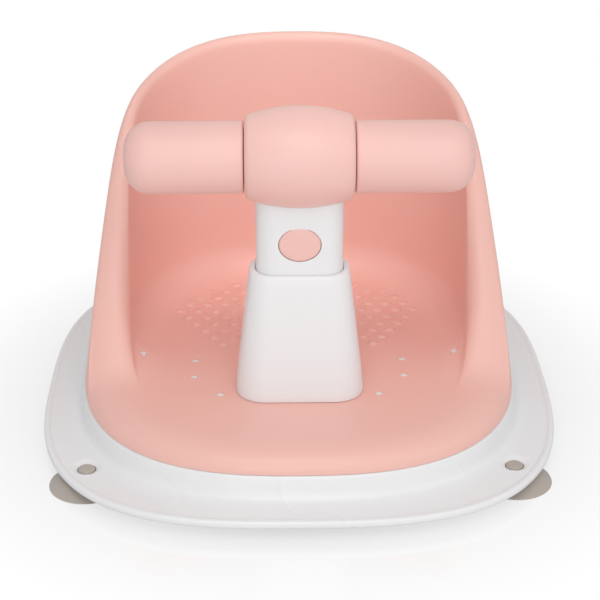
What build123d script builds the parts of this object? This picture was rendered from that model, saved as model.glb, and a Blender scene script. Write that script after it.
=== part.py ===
from build123d import *
import math
import os

# Baby bath seat: a bucket seat on a suction-cup base, with a T-bar that lifts off after its button is pressed.
# Millimetres, +Z up, the front faces -Y, the origin is the middle of the footprint on the bath floor.

# Outlines in plan: half width, half depth to the front, half depth to the back, then the radii of the bowed
# sides, of the bowed ends and of the corners between them
FLANGE_PLAN = (175.0, 185.0, 185.0, 643.0, 624.0, 118.0)
SEAT_PLAN = (148.0, 155.5, 163.0, 351.0, 341.0, 115.0)
CAVITY_PLAN = (115.0, 123.0, 123.0, 261.0, 251.0, 92.0)

# Base tray
FLANGE_TOP = 12.6
FLANGE_THICKNESS = 3.2
BEAD_WIDTH = 3.6
BEAD_TOP = 13.6
BEAD_BOTTOM = 8.4
DECK_TOP = 28.5
TRAY_WALL = 3.0
PLINTH_DRAFT = 12.0
PLINTH_MARGIN = 4.2
RIB_THICKNESS = 2.4
RIB_BOTTOM = 13.0
RIB_X = 58.0
RIB_Y = 62.0

# Suction cups and their sockets in the corners of the flange
CUP_X = 138.5
CUP_Y = 117.0
CUP_RADIUS = 25.0
CUP_SOCKET_RADIUS = 12.5
CUP_SOCKET_BOTTOM = 6.6
CUP_HOLE_RADIUS = 6.2
CUP_SINK_RADIUS = 9.8
CUP_SINK_DEPTH = 1.8

# Seat shell; the pocket under its floor is given as width, length and middle y
SEAT_WALL = 3.0
FLOOR_POCKET = (140.0, 130.0, 52.0)
SEAT_DRAFT = 8.6
FLOOR_TOP = 42.0
SCOOP_RADIUS = 26.0
LIP_ROUND = 9.0
SEAT_TOP = 236.0
# side profile of the sweep from the front apron to the tall back: corners (y, z) and their rounding
SWEEP_CORNERS = ((-200.0, -19.0), (-52.0, 46.0), (38.0, 196.0), (190.0, 237.5))
SWEEP_ROUND = (55.0, 95.0)
DRAIN_HOLE_RADIUS = 2.3
DRAIN_HOLES = ((107.0, -28.0), (71.0, -27.0), (71.0, -50.0), (52.5, -75.0))
SEAT_SCREWS = ((82.0, 84.0), (96.0, -88.0))

# Post: pedestal and neck
POST_Y = -60.0
PEDESTAL_TOP = 128.5
PEDESTAL_BASE = (85.4, 57.0)
PEDESTAL_DRAFT = 6.7
PEDESTAL_CORNER = 17.0
PEDESTAL_WALL = 3.0
PEDESTAL_POCKET = (38.0, 44.0)
SOCKET_FLOOR = 79.6
SOCKET_CLEARANCE = 0.35
NECK_SECTION = (56.4, 30.0, 13.0)
NECK_BOTTOM = 80.0
NECK_WALL = 2.6
PEDESTAL_SCREW_X = 27.0
NECK_SCREW_X = 19.0
NECK_SCREW_Z = 97.0
NECK_BOSS_RADIUS = 4.2
NECK_HEAD_RECESS = 6.5

# Release button and latch clip: the button's stem bends the clip back, which draws its hook in
BUTTON_Z = 149.5
BUTTON_SIZE = (27.0, 22.6)
BUTTON_CLEARANCE = 0.3
BUTTON_PROUD = 0.8
BUTTON_FLANGE = (1.4, 1.6)
STEM_RADIUS = 4.0
HOOK_Z = 119.0
HOOK_SIZE = (14.0, 6.0)
HOOK_REACH = 1.3
CLIP_DEPTH = 5.4
CLIP_THICKNESS = 2.0
CLIP_TOP = 156.0
CLIP_FOOT = (20.0, 8.0)

# T-bar
BAR_Z = 203.5
BARREL_LENGTH = 69.0
BARREL_RADIUS = 32.0
BARREL_END_RADIUS = 25.9
BARREL_SHOULDER = 14.0
BARREL_SCREW = (15.0, 7.0)
CORE_RADIUS = 14.0
JOURNAL_RADIUS = 12.0
CORE_BORE = 9.0
CORE_HALF_LENGTH = 101.0
JOURNAL_CLEARANCE = 0.08
GRIP_GAP = 0.5
GRIP_LENGTH = 78.5
GRIP_RADIUS = 22.9
GRIP_END_ROUND = 13.0
GRIP_DOME_KNEE = 0.293
GRIP_BORE_END = 104.0
BARB_RADIUS = 12.8
BARB_WIDTH = 4.0
BARB_START = 94.0

# Screws: head radius, head height, shank radius; then the shank length of each group
SCREW_HEAD = (3.4, 2.2)
SCREW_RADIUS = 1.5
SCREW_FIT = 0.02
HEAD_ROOM = 0.3
SEAT_SCREW_LENGTH = 12.0
PEDESTAL_SCREW_LENGTH = 26.0
NECK_SCREW_LENGTH = 16.0
BARREL_SCREW_LENGTH = 15.0


def mirrored(point):
    """The point on the other side of the symmetry plane."""
    return Vector(-point.X, point.Y, point.Z)


def quadrant_joins(half_width, half_depth, side_radius, end_radius, corner_radius):
    """Where the side, corner and end arcs of one quadrant meet, and the middle of the corner arc."""
    side_centre = Vector(half_width - side_radius, 0)
    end_centre = Vector(0, half_depth - end_radius)
    to_side = side_radius - corner_radius
    to_end = end_radius - corner_radius
    span = (end_centre - side_centre).length
    along = (to_side**2 - to_end**2 + span**2) / (2 * span)
    across = math.sqrt(to_side**2 - along**2)
    direction = (end_centre - side_centre).normalized()
    normal = Vector(direction.Y, -direction.X)
    if normal.X < 0:
        normal = -normal
    corner_centre = side_centre + direction * along + normal * across
    side_join = side_centre + (corner_centre - side_centre).normalized() * side_radius
    end_join = end_centre + (corner_centre - end_centre).normalized() * end_radius
    middle = (side_join - corner_centre).normalized() + (end_join - corner_centre).normalized()
    return side_join, corner_centre + middle.normalized() * corner_radius, end_join


def bowed_outline(plan, grow=0.0):
    """A face with bowed sides and round corners, grown outwards all round by an offset."""
    half_width, front, back, side_radius, end_radius, corner_radius = [size + grow for size in plan]
    radii = (side_radius, end_radius, corner_radius)
    back_side, back_corner, back_end = quadrant_joins(half_width, back, *radii)
    front_side, front_corner, front_end = [
        Vector(point.X, -point.Y) for point in quadrant_joins(half_width, front, *radii)
    ]
    right = [
        Edge.make_three_point_arc(front_end, front_corner, front_side),
        Edge.make_three_point_arc(front_side, Vector(half_width, 0), back_side),
        Edge.make_three_point_arc(back_side, back_corner, back_end),
    ]
    left = [
        Edge.make_three_point_arc(mirrored(back_end), mirrored(back_corner), mirrored(back_side)),
        Edge.make_three_point_arc(mirrored(back_side), Vector(-half_width, 0), mirrored(front_side)),
        Edge.make_three_point_arc(mirrored(front_side), mirrored(front_corner), mirrored(front_end)),
    ]
    back_arc = Edge.make_three_point_arc(back_end, Vector(0, back), mirrored(back_end))
    front_arc = Edge.make_three_point_arc(mirrored(front_end), Vector(0, -front), front_end)
    return Face(Wire(right + [back_arc] + left + [front_arc]))


def open_front_outline(plan):
    """The seat cavity in plan: the bowed outline behind the middle, running straight out to the front."""
    half_width, _, back, side_radius, end_radius, corner_radius = plan
    side_join, corner, end_join = quadrant_joins(half_width, back, side_radius, end_radius, corner_radius)
    side_middle_angle = math.atan2(side_join.Y, side_join.X - half_width + side_radius) / 2
    side_middle = Vector(
        half_width - side_radius + side_radius * math.cos(side_middle_angle),
        side_radius * math.sin(side_middle_angle),
    )
    side = Vector(half_width, 0)
    front = Vector(half_width, -2 * back)
    edges = [
        Edge.make_line(front, side),
        Edge.make_three_point_arc(side, side_middle, side_join),
        Edge.make_three_point_arc(side_join, corner, end_join),
        Edge.make_three_point_arc(end_join, Vector(0, back), mirrored(end_join)),
        Edge.make_three_point_arc(mirrored(end_join), mirrored(corner), mirrored(side_join)),
        Edge.make_three_point_arc(mirrored(side_join), mirrored(side_middle), mirrored(side)),
        Edge.make_line(mirrored(side), mirrored(front)),
        Edge.make_line(mirrored(front), front),
    ]
    return Face(Wire(edges))


def at_height(face, z):
    """The face moved up to a height."""
    return Pos(0, 0, z) * face


def both_sides(x, y):
    """The place and its mirror image, or the one place on the symmetry plane."""
    return [(x, y)] if x == 0 else [(x, y), (-x, y)]


def four_corners(x, y):
    """The four places at plus and minus x and y."""
    return [(side * x, end * y) for side in (1, -1) for end in (1, -1)]


def upright(radius, bottom, top, x, y):
    """A vertical cylinder between two heights."""
    return Pos(x, y, (bottom + top) / 2) * Cylinder(radius, top - bottom)


def seat_screw_places():
    """Every place where a screw holds the seat shell to the tray."""
    return [place for screw in SEAT_SCREWS for place in both_sides(*screw)]


def pedestal_screw_places():
    """Both places where a screw holds the pedestal through the seat and the tray."""
    return both_sides(PEDESTAL_SCREW_X, POST_Y)


def barrel_screw_places():
    """The two places where a screw holds the barrel, one in the front and one in the rear half of the neck."""
    x, y = BARREL_SCREW
    return [(x, POST_Y - y), (-x, POST_Y + y)]


def tray_plinth(grow):
    """The raised part of the tray under the seat, with drafted walls, grown or shrunk all round."""
    outline = bowed_outline(SEAT_PLAN, PLINTH_MARGIN + grow)
    bottom = FLANGE_TOP - FLANGE_THICKNESS
    return extrude(at_height(outline, bottom), DECK_TOP - bottom + min(grow, 0), taper=PLINTH_DRAFT)


def tray_ribs(inside):
    """Crossed stiffening ribs under the deck, trimmed to the inside of the plinth."""
    height = DECK_TOP - RIB_BOTTOM
    middle = RIB_BOTTOM + height / 2
    length = 2 * FLANGE_PLAN[1]
    ribs = Part()
    for x in (-RIB_X, RIB_X):
        ribs += Pos(x, 0, middle) * Box(RIB_THICKNESS, length, height)
    for y in (-2 * RIB_Y, 0, RIB_Y):
        ribs += Pos(0, y, middle) * Box(length, RIB_THICKNESS, height)
    return ribs & inside


def base_tray():
    """White base: flange with an edge bead, raised deck, ribs, cup sockets and screw holes."""
    flange_bottom = FLANGE_TOP - FLANGE_THICKNESS
    plate = extrude(at_height(bowed_outline(FLANGE_PLAN), flange_bottom), FLANGE_THICKNESS)
    bead = extrude(at_height(bowed_outline(FLANGE_PLAN), BEAD_BOTTOM), BEAD_TOP - BEAD_BOTTOM)
    bead -= extrude(at_height(bowed_outline(FLANGE_PLAN, -BEAD_WIDTH), BEAD_BOTTOM), BEAD_TOP)
    inside = tray_plinth(-TRAY_WALL)
    tray = plate + bead + tray_plinth(0)
    tray -= inside
    tray += tray_ribs(inside)
    for x, y in seat_screw_places() + pedestal_screw_places():
        tray -= upright(SCREW_RADIUS + HEAD_ROOM, DECK_TOP - 2 * TRAY_WALL, DECK_TOP, x, y)
    for x, y in four_corners(CUP_X, CUP_Y):
        tray += upright(CUP_SOCKET_RADIUS, CUP_SOCKET_BOTTOM, FLANGE_TOP, x, y)
        tray -= upright(CUP_HOLE_RADIUS, CUP_SOCKET_BOTTOM, FLANGE_TOP, x, y)
        sink = Cone(CUP_HOLE_RADIUS, CUP_SINK_RADIUS, CUP_SINK_DEPTH)
        tray -= Pos(x, y, FLANGE_TOP - CUP_SINK_DEPTH / 2) * sink
    return tray


def suction_cup(x, y):
    """One suction cup: thin bell, collar under the flange and a head that snaps into the socket."""
    neck = CUP_HOLE_RADIUS - HEAD_ROOM
    head = CUP_HOLE_RADIUS + 1.2
    head_bottom = FLANGE_TOP - CUP_SINK_DEPTH + 1.5
    head_top = FLANGE_TOP + 0.6
    profile = Polyline(
        (0, 3.8),
        (CUP_RADIUS - 3, 0),
        (CUP_RADIUS, 0),
        (neck, CUP_SOCKET_BOTTOM),
        (neck, head_bottom),
        (head, head_bottom),
        (head, head_top),
        (0, head_top),
        close=True,
    )
    return Pos(x, y, 0) * revolve(Plane.XZ * Face(Wire(profile.edges())), Axis.Z)


def suction_cups():
    """The four suction cups at the corners of the flange."""
    return Compound([suction_cup(x, y) for x, y in four_corners(CUP_X, CUP_Y)])


def sweep_region():
    """Everything above the side profile of the walls."""
    first, last = SWEEP_CORNERS[0], SWEEP_CORNERS[-1]
    curve = FilletPolyline(*SWEEP_CORNERS, radius=SWEEP_ROUND)
    high = 2 * SEAT_TOP
    closing = Polyline(last, (last[0], high), (first[0], high), first)
    edges = [Plane.YZ.from_local_coords(edge) for edge in curve.edges() + closing.edges()]
    return extrude(Face(Wire(edges)), 2 * SEAT_PLAN[0], both=True)


def seat_cavity():
    """The space that the child sits in, open to the front, with a scooped edge round its floor."""
    cavity = extrude(at_height(open_front_outline(CAVITY_PLAN), FLOOR_TOP), SEAT_TOP)
    floor_edges = cavity.edges().group_by(Axis.Z)[0]
    front_y = cavity.bounding_box().min.Y
    scooped = [edge for edge in floor_edges if edge.bounding_box().max.Y > front_y + 1]
    return fillet(scooped, SCOOP_RADIUS)


def seat_shell():
    """Pink bucket seat: drafted outer wall, upright inner wall, swept sides and a rolled front apron."""
    outline = at_height(bowed_outline(SEAT_PLAN), DECK_TOP)
    walls = extrude(outline, SEAT_TOP - DECK_TOP, taper=SEAT_DRAFT) - sweep_region()
    apron = extrude(outline, FLOOR_TOP - DECK_TOP, taper=SEAT_DRAFT)
    apron = fillet(apron.edges().group_by(Axis.Z)[-1], LIP_ROUND)
    pocket_width, pocket_length, pocket_y = FLOOR_POCKET
    pocket_depth = FLOOR_TOP - SEAT_WALL - DECK_TOP
    pocket = Pos(0, pocket_y, DECK_TOP + pocket_depth / 2) * Box(pocket_width, pocket_length, pocket_depth)
    shell = walls + apron - seat_cavity() - pocket
    for x, y in seat_screw_places():
        shell -= upright(SCREW_RADIUS, DECK_TOP, DECK_TOP + SEAT_SCREW_LENGTH - TRAY_WALL + 1, x, y)
    for x, y in pedestal_screw_places():
        shell -= upright(SCREW_RADIUS + HEAD_ROOM, DECK_TOP, FLOOR_TOP, x, y)
    for hole in DRAIN_HOLES:
        for x, y in both_sides(*hole):
            shell -= upright(DRAIN_HOLE_RADIUS, DECK_TOP, FLOOR_TOP, x, y)
    return shell


def post_section(grow=0.0):
    """Rounded rectangle of the neck in plan, centred on the post and grown all round."""
    width, depth, corner = NECK_SECTION
    return Pos(0, POST_Y, 0) * RectangleRounded(width + 2 * grow, depth + 2 * grow, corner + grow)


def hook_space(clearance):
    """The latch hook, which reaches forward from the clip through the neck, with a clearance round it."""
    width, height = HOOK_SIZE
    back = clip_front()
    front = POST_Y - NECK_SECTION[1] / 2 - HOOK_REACH
    size = (width + 2 * clearance, back - front + 2 * clearance, height + 2 * clearance)
    return Pos(0, (back + front) / 2, HOOK_Z) * Box(*size)


def clip_front():
    """Where the front face of the latch clip lies."""
    return POST_Y - NECK_SECTION[1] / 2 + CLIP_DEPTH


def post_pedestal():
    """White flared pedestal with the socket that takes the neck, and columns for two screws."""
    height = PEDESTAL_TOP - FLOOR_TOP
    base = Pos(0, POST_Y, FLOOR_TOP) * Rectangle(*PEDESTAL_BASE)
    body = extrude(base, height, taper=PEDESTAL_DRAFT)
    upright_edges = [edge for edge in body.edges() if edge.bounding_box().size.Z > height / 2]
    body = fillet(upright_edges, PEDESTAL_CORNER)
    body = chamfer(body.edges().group_by(Axis.Z)[-1], 0.8)
    body -= extrude(at_height(post_section(SOCKET_CLEARANCE), SOCKET_FLOOR), height)
    pocket_top = SOCKET_FLOOR - PEDESTAL_WALL
    pocket = Pos(0, POST_Y, (FLOOR_TOP + pocket_top) / 2) * Box(*PEDESTAL_POCKET, pocket_top - FLOOR_TOP)
    body -= pocket
    body -= hook_space(0.45)
    tip = DECK_TOP - TRAY_WALL + PEDESTAL_SCREW_LENGTH
    for x, y in pedestal_screw_places():
        body -= upright(SCREW_RADIUS, FLOOR_TOP, tip + 1, x, y)
    return body


def barrel_form():
    """Spindle shape of the barrel along X: straight in the middle, tapered towards both ends."""
    half = BARREL_LENGTH / 2
    profile = Polyline(
        (-half, 0),
        (-half, BARREL_END_RADIUS),
        (-BARREL_SHOULDER, BARREL_RADIUS),
        (BARREL_SHOULDER, BARREL_RADIUS),
        (half, BARREL_END_RADIUS),
        (half, 0),
        close=True,
    )
    return revolve(Face(Wire(profile.edges())), Axis.X)


def on_bar(shape):
    """A shape that is built along X through the origin, moved to the axis of the T-bar."""
    return Pos(0, POST_Y, BAR_Z) * shape


def along_bar(radius, start, end):
    """A cylinder along X between two distances from the middle."""
    return Pos((start + end) / 2, 0, 0) * Rot(0, 90, 0) * Cylinder(radius, end - start)


def bar_barrel():
    """Pink barrel pressed onto the core, with holes for its screws."""
    half = BARREL_LENGTH / 2
    barrel = on_bar(barrel_form() - along_bar(CORE_RADIUS + SCREW_FIT, -half, half))
    for x, y in barrel_screw_places():
        barrel -= upright(SCREW_RADIUS, neck_cap_bottom(), neck_cap_bottom() + BARREL_SCREW_LENGTH + 1, x, y)
    return barrel


def neck_cap_bottom():
    """Height of the underside of the cap that closes the neck below the barrel."""
    return BAR_Z - BARREL_RADIUS - 2 * NECK_WALL


def front_outline(grow):
    """The button's oval in the vertical plane, grown all round."""
    width, height = BUTTON_SIZE
    return Plane.XZ * (Pos(0, BUTTON_Z) * Ellipse(width / 2 + grow, height / 2 + grow))


def button_block(grow, front, back):
    """The button's oval extruded between two depths."""
    return Pos(0, front, 0) * extrude(front_outline(grow), front - back)


def neck_screw_places():
    """The screw axes of the neck halves as x and z."""
    return both_sides(NECK_SCREW_X, NECK_SCREW_Z)


def fore_and_aft(radius, front, back, x, z):
    """A cylinder along Y between two depths."""
    return Pos(x, (front + back) / 2, z) * Rot(90, 0, 0) * Cylinder(radius, back - front)


def neck_body():
    """The whole hollow neck before it is parted: cap, saddle, screw columns, button and hook openings."""
    front = POST_Y - NECK_SECTION[1] / 2
    back = POST_Y + NECK_SECTION[1] / 2
    outside = extrude(at_height(post_section(), NECK_BOTTOM), BAR_Z - NECK_BOTTOM)
    inside = at_height(post_section(-NECK_WALL), NECK_BOTTOM + NECK_WALL)
    room = extrude(inside, neck_cap_bottom() - NECK_BOTTOM - NECK_WALL)
    for x, z in neck_screw_places():
        room -= fore_and_aft(NECK_BOSS_RADIUS, front, back, x, z)
    neck = outside - on_bar(barrel_form()) - room
    neck -= button_block(BUTTON_CLEARANCE, front - 1, front + NECK_WALL)
    neck -= hook_space(0.4)
    for x, y in barrel_screw_places():
        neck -= upright(SCREW_RADIUS, neck_cap_bottom() - SCREW_HEAD[1], BAR_Z, x, y)
        neck -= upright(SCREW_HEAD[0] + HEAD_ROOM, neck_cap_bottom() - 2 * SCREW_HEAD[1], neck_cap_bottom(), x, y)
    for x, z in neck_screw_places():
        seat = back - NECK_HEAD_RECESS
        neck -= fore_and_aft(SCREW_RADIUS, seat - NECK_SCREW_LENGTH - 1, seat, x, z)
        neck -= fore_and_aft(SCREW_HEAD[0] + HEAD_ROOM / 2, seat, back, x, z)
    return neck


def neck_half(end):
    """The front (-1) or rear (1) half of the neck."""
    width, depth, _ = NECK_SECTION
    return neck_body() & Pos(0, POST_Y + end * depth, BAR_Z / 2) * Box(2 * width, 2 * depth, 2 * BAR_Z)


def release_button():
    """Oval pink button: cap through the neck's wall, flange behind the wall and a stem to the clip."""
    front = POST_Y - NECK_SECTION[1] / 2
    flange_rim, flange_depth = BUTTON_FLANGE
    flange_front = front + NECK_WALL + HEAD_ROOM
    cap = button_block(0, front - BUTTON_PROUD, flange_front)
    flange = button_block(flange_rim, flange_front, flange_front + flange_depth)
    stem = fore_and_aft(STEM_RADIUS, flange_front, clip_front() - HEAD_ROOM, 0, BUTTON_Z)
    return cap + flange + stem


def latch_clip():
    """Springy tongue inside the neck, clamped at its foot, with the hook that locks into the pedestal."""
    foot_height, foot_depth = CLIP_FOOT
    bottom = NECK_BOTTOM + NECK_WALL
    front = clip_front()
    width = HOOK_SIZE[0]
    tongue = Pos(0, front + CLIP_THICKNESS / 2, (bottom + CLIP_TOP) / 2)
    clip = tongue * Box(width, CLIP_THICKNESS, CLIP_TOP - bottom)
    foot_front = POST_Y - NECK_SECTION[1] / 2 + NECK_WALL
    foot = Pos(0, foot_front + foot_depth / 2, bottom + foot_height / 2) * Box(width, foot_depth, foot_height)
    hook = hook_space(0)
    ramp = hook.edges().filter_by(Axis.X).group_by(Axis.Y)[0].sort_by(Axis.Z)[0]
    return clip + foot + chamfer(ramp, HOOK_REACH)


def crossbar_core():
    """White tube through the barrel, stepped to journals on which the grips turn, with snap rings."""
    half = BARREL_LENGTH / 2
    core = along_bar(CORE_RADIUS, -half, half) + along_bar(JOURNAL_RADIUS, -CORE_HALF_LENGTH, CORE_HALF_LENGTH)
    for start in (BARB_START, -BARB_START - BARB_WIDTH):
        core += along_bar(BARB_RADIUS, start, start + BARB_WIDTH)
    core -= along_bar(CORE_BORE, -CORE_HALF_LENGTH, CORE_HALF_LENGTH)
    return on_bar(core)


def grip(side):
    """Pink grip on the right (1) or left (-1) of the barrel, domed outside, bored for the journal."""
    start = BARREL_LENGTH / 2 + GRIP_GAP
    end = start + GRIP_LENGTH
    dome = GRIP_END_ROUND
    profile = Polyline(
        (start, 0),
        (start, GRIP_RADIUS - 1.5),
        (start + 1.5, GRIP_RADIUS),
        (end - dome, GRIP_RADIUS),
        (end - dome * GRIP_DOME_KNEE, GRIP_RADIUS - dome * GRIP_DOME_KNEE),
        (end, GRIP_RADIUS - dome),
        (end, 0),
        close=True,
    )
    body = revolve(Face(Wire(profile.edges())), Axis.X)
    body -= along_bar(JOURNAL_RADIUS + JOURNAL_CLEARANCE, start, GRIP_BORE_END)
    groove_start = BARB_START - HEAD_ROOM
    groove_end = BARB_START + BARB_WIDTH + HEAD_ROOM
    body -= along_bar(BARB_RADIUS + HEAD_ROOM, groove_start, groove_end)
    return on_bar(body) if side > 0 else on_bar(mirror(body, Plane.YZ))


def screw(length):
    """A hexagon-head screw whose head stands below the origin and whose shank points up."""
    head_radius, head_height = SCREW_HEAD
    shank = upright(SCREW_RADIUS - SCREW_FIT, 0, length, 0, 0)
    return extrude(Pos(0, 0, -head_height) * RegularPolygon(head_radius, 6), head_height) + shank


def upright_screws(places, z, length):
    """A group of screws pointing up from one height."""
    return Compound([Pos(x, y, z) * screw(length) for x, y in places])


def neck_screws():
    """The screws that hold the neck halves together, driven from the rear."""
    seat = POST_Y + NECK_SECTION[1] / 2 - NECK_HEAD_RECESS
    return Compound([Pos(x, seat, z) * Rot(90, 0, 0) * screw(NECK_SCREW_LENGTH) for x, z in neck_screw_places()])


def build_nodes():
    """Every sub-part of the seat by its node name."""
    deck_under = DECK_TOP - TRAY_WALL
    return {
        "base_tray": base_tray(),
        "seat_shell": seat_shell(),
        "seat_screws": upright_screws(seat_screw_places(), deck_under, SEAT_SCREW_LENGTH),
        "suction_cups": suction_cups(),
        "post_pedestal": post_pedestal(),
        "pedestal_screws": upright_screws(pedestal_screw_places(), deck_under, PEDESTAL_SCREW_LENGTH),
        "neck_front_shell": neck_half(-1),
        "neck_rear_shell": neck_half(1),
        "neck_screws": neck_screws(),
        "release_button": release_button(),
        "latch_clip": latch_clip(),
        "crossbar_core": crossbar_core(),
        "bar_barrel": bar_barrel(),
        "barrel_screws": upright_screws(barrel_screw_places(), neck_cap_bottom(), BARREL_SCREW_LENGTH),
        "grip_left": grip(-1),
        "grip_right": grip(1),
    }


def export_all():
    """Build every sub-part and write one STEP file each."""
    os.makedirs("parts", exist_ok=True)
    for name, shape in build_nodes().items():
        export_step(shape, f"parts/{name}.step")


if __name__ == "__main__":
    export_all()
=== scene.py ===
"""Baby bath seat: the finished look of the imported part, modelled piece by piece over its frame."""

import logging
import math
from collections.abc import Callable, Sequence
from dataclasses import dataclass, field
from enum import Enum

import bmesh
import bpy
from mathutils import Matrix, Vector


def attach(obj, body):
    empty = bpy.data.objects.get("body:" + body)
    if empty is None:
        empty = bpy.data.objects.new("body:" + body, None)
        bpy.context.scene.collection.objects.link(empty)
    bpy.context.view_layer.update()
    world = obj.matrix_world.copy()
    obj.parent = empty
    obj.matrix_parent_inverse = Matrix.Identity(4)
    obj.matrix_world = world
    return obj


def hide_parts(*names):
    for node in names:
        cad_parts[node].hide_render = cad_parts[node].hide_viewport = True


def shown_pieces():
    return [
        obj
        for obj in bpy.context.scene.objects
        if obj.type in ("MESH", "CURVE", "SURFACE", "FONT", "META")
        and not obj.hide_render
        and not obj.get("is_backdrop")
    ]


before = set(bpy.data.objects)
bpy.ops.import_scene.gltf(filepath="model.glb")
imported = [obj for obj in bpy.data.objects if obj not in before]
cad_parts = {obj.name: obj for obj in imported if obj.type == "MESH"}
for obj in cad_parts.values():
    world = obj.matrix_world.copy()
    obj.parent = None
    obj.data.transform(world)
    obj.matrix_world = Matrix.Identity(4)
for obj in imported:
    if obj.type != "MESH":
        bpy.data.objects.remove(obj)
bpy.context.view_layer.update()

LOG = logging.getLogger("bath_seat")
SHARP_ANGLE = 40.0
SCATTER_REACH = (1.0, 0.45, 0.35)
SCATTER_DEPTH = 0.004

Place = Callable[[float], Vector]
Profile = Sequence[tuple[float, float]]
Socket = bpy.types.NodeSocket


class Body(str, Enum):
    """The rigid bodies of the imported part."""

    BASE = "base"
    BAR = "bar"
    BUTTON = "button"
    LEFT_GRIP = "left_grip"
    RIGHT_GRIP = "right_grip"


class Slot(str, Enum):
    """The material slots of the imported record."""

    BASE_WHITE = "base_white"
    SEAT_PINK = "seat_pink"
    SCREW_STEEL = "screw_steel"
    CUP_CLEAR = "cup_clear"
    POST_WHITE = "post_white"
    BAR_PINK = "bar_pink"
    CLIP_WHITE = "clip_white"
    GRIP_PINK = "grip_pink"


# Node groups that several finishes share


def add_socket(
    group: bpy.types.NodeTree, name: str, way: str, kind: str, default: float | None = None
) -> None:
    """Add one named socket to a node group.

    Args:
        group: The node group.
        name: The socket's name.
        way: "INPUT" or "OUTPUT".
        kind: The socket type, such as "NodeSocketFloat".
        default: The value of a number input that nothing feeds.
    """
    socket = group.interface.new_socket(name=name, in_out=way, socket_type=kind)
    if default is not None:
        socket.default_value = default


def noise(tree: bpy.types.NodeTree, vector: Socket, detail: float, roughness: float = 0.5) -> bpy.types.Node:
    """Add a noise texture that reads a vector.

    Args:
        tree: The node tree.
        vector: The coordinates that the noise reads.
        detail: The noise's number of octaves.
        roughness: How strong the fine octaves are.

    Returns:
        The texture node, whose Scale is still to be set or linked.
    """
    node = tree.nodes.new("ShaderNodeTexNoise")
    node.inputs["Detail"].default_value = detail
    node.inputs["Roughness"].default_value = roughness
    tree.links.new(vector, node.inputs["Vector"])
    return node


def math_node(tree: bpy.types.NodeTree, operation: str, first: Socket, second: Socket | float) -> Socket:
    """Add a math node on one socket and a socket or number.

    Args:
        tree: The node tree.
        operation: The math operation's name.
        first: The first input.
        second: The second input, linked or a plain number.

    Returns:
        The result's socket.
    """
    node = tree.nodes.new("ShaderNodeMath")
    node.operation = operation
    tree.links.new(first, node.inputs[0])
    if isinstance(second, Socket):
        tree.links.new(second, node.inputs[1])
    else:
        node.inputs[1].default_value = second
    return node.outputs[0]


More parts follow.
